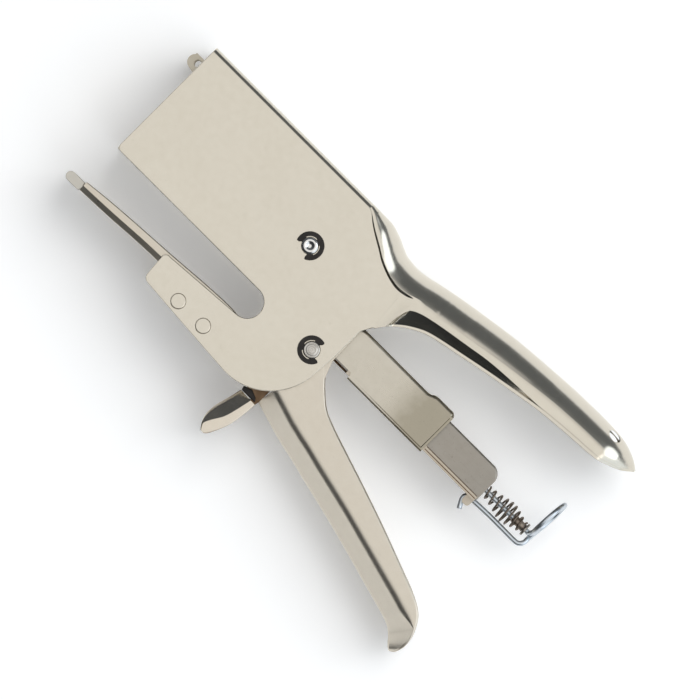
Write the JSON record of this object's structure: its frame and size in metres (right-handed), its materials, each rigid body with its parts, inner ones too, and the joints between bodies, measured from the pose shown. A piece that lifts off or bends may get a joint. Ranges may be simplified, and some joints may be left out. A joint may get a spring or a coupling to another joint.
{
  "type": "plier stapler",
  "caption": "Hand-squeezed plier stapler of bent nickel-plated steel: folded head with a throat, anvil arm, swinging magazine with a pull-out feed rail, driver lever and two grips.",
  "frame": {"origin": "middle of the outline, at the level of the side that it lies on", "axes": "+X back along the magazine towards the grips, +Y up to the spine of the head, +Z across the tool, up when it lies on its side with the snap rings on top"},
  "size_m": [0.1774, 0.0919, 0.0252],
  "materials": {
    "nickel_plate": "satin nickel-plated sheet steel, warm silver, fine drawn grain",
    "polished_nickel": "polished nickel plate",
    "lower_nickel": "nickel-plated sheet steel, half gloss",
    "magazine_steel": "satin nickel-plated sheet",
    "pin_steel": "turned steel",
    "black_oxide": "black oxide spring steel",
    "zinc_wire": "bright zinc-plated wire",
    "spring_steel": "oiled spring wire",
    "tool_steel": "hardened ground steel"
  },
  "bodies": {
    "frame": {"frame_shell": "nickel_plate", "anvil_arm": "nickel_plate", "anvil_plate": "tool_steel", "anvil_rivets": "nickel_plate", "lever_pin": "pin_steel", "handle_pin": "pin_steel", "retaining_clips": "black_oxide"},
    "lower_handle_body": {"lower_handle": "lower_nickel", "finger_rest": "lower_nickel", "drive_studs": "pin_steel"},
    "lever_body": {"driver_lever": "magazine_steel", "lever_bush": "pin_steel", "return_spring": "spring_steel"},
    "magazine_body": {"magazine_cover": "magazine_steel", "magazine_base": "magazine_steel", "nose_plate": "magazine_steel", "pivot_washers": "pin_steel", "clamp_spring": "spring_steel"},
    "blade_body": {"driver_blade": "tool_steel"},
    "feed_body": {"staple_rail": "magazine_steel", "latch_spring": "spring_steel", "pusher_spring": "spring_steel"},
    "pusher_body": {"pusher": "tool_steel"},
    "latch_body": {"latch_wire": "zinc_wire", "latch_sleeve": "spring_steel", "latch_collar": "zinc_wire"}
  },
  "joints": [
    {"name": "handle_squeeze", "type": "hinge", "parent": "frame", "child": "lower_handle_body", "pos_m": [-0.00235, -0.00005, 0.0126], "axis": [0, 0, 1], "range_deg": [0, 30], "stiffness_Nm_per_rad": 1.2, "springref_deg": -20.05},
    {"name": "lever_swing", "type": "hinge", "parent": "frame", "child": "lever_body", "pos_m": [-0.02395, 0.02085, 0.0126], "axis": [0, 0, 1], "range_deg": [0, 24.5], "deforming": ["return_spring"]},
    {"name": "magazine_close", "type": "hinge", "parent": "frame", "child": "magazine_body", "pos_m": [-0.00235, -0.00005, 0.0126], "axis": [0, 0, 1], "range_deg": [0, 9.5], "deforming": ["clamp_spring"]},
    {"name": "blade_drop", "type": "slide", "parent": "magazine_body", "child": "blade_body", "axis": [0, -1, 0], "range_m": [0, 0.0126]},
    {"name": "feed_withdraw", "type": "slide", "parent": "magazine_body", "child": "feed_body", "axis": [1, 0, 0], "range_m": [0, 0.13]},
    {"name": "pusher_travel", "type": "slide", "parent": "feed_body", "child": "pusher_body", "axis": [1, 0, 0], "range_m": [0, 0.085], "stiffness_N_per_m": 20, "springref_m": -0.02, "deforming": ["pusher_spring"]},
    {"name": "latch_push", "type": "slide", "parent": "feed_body", "child": "latch_body", "axis": [-1, 0, 0], "range_m": [0, 0.0025], "stiffness_N_per_m": 400, "springref_m": -0.003, "deforming": ["latch_spring"]}
  ],
  "couplings": [
    {"joint": "lever_swing", "follows": "handle_squeeze", "ratio": 0.8},
    {"joint": "magazine_close", "follows": "handle_squeeze", "ratio": 0.3},
    {"joint": "blade_drop", "follows": "handle_squeeze", "m_per_rad": 0.024}
  ]
}
